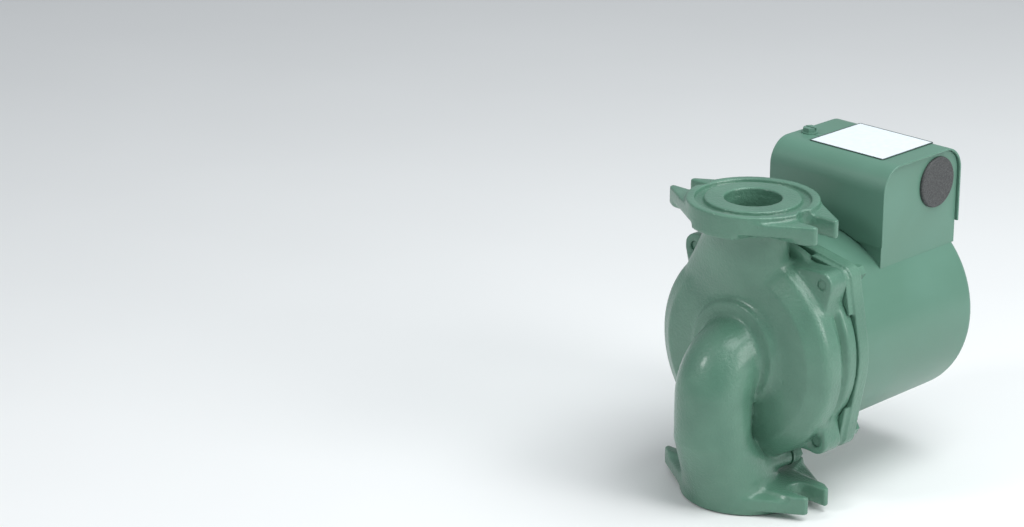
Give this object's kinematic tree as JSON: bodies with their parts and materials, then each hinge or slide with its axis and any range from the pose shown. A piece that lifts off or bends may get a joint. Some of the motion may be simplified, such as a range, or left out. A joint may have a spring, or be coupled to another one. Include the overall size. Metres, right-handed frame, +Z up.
{
  "type": "centrifugal water pump",
  "caption": "Canned-rotor centrifugal circulator: volute casing with in-line flanges and a suction elbow, cylindrical motor housing and a terminal box on top.",
  "frame": {"origin": "centre of the suction port on the gasket face of the lower flange", "axes": "+Z up from the suction port to the discharge port; +Y along the rotor shaft from the suction elbow to the closed end of the motor; +X towards the side with the round knockout plug"},
  "size_m": [0.1147, 0.1681, 0.1754],
  "materials": {
    "green_casting": "glossy enamel paint over a sand-cast skin",
    "green_sheet": "satin enamel paint",
    "black_plastic": "fine matt texture",
    "label_film": "satin printed film, bare of words",
    "stainless": "pressed and passivated",
    "plated_steel": "zinc plated",
    "shaft_ceramic": "ground and lapped",
    "carbon": "turned carbon, dull",
    "impeller_plastic": "moulded, slightly glossy",
    "brass": "turned",
    "electrical_steel": "stacked laminations",
    "cast_aluminium": "die cast",
    "enamelled_copper": "varnished copper winding",
    "sealing_rubber": "moulded",
    "capacitor_case": "moulded case",
    "lead_insulation": "extruded insulation"
  },
  "bodies": {
    "pump_body": {"bearing_holder": "stainless", "box_cover": "green_sheet", "capacitor": "capacitor_case", "capacitor_strap": "plated_steel", "cartridge_plate": "stainless", "casing": "green_casting", "casing_o_ring": "sealing_rubber", "casing_screws": "green_casting", "cover_screw": "green_sheet", "drain_plug": "green_casting", "front_bearing": "carbon", "ground_screw": "brass", "knockout_plug": "black_plastic", "lead_bushing": "sealing_rubber", "motor_flange": "green_casting", "motor_leads": "lead_insulation", "motor_shell": "green_sheet", "nameplate": "label_film", "rear_bearing": "carbon", "rotor_can": "stainless", "stator_core": "electrical_steel", "terminal_box": "green_sheet", "winding_front": "enamelled_copper", "winding_rear": "enamelled_copper"},
    "rotor": {"impeller": "impeller_plastic", "impeller_insert": "brass", "shaft": "shaft_ceramic", "rotor_core": "electrical_steel", "rotor_sleeve": "stainless", "rotor_end_rings": "cast_aluminium", "thrust_washer": "shaft_ceramic"}
  },
  "joints": [
    {"name": "rotor_spin", "type": "hinge", "parent": "pump_body", "child": "rotor", "pos_m": [0, 0, 0.081], "axis": [0, 1, 0], "continuous": true}
  ]
}
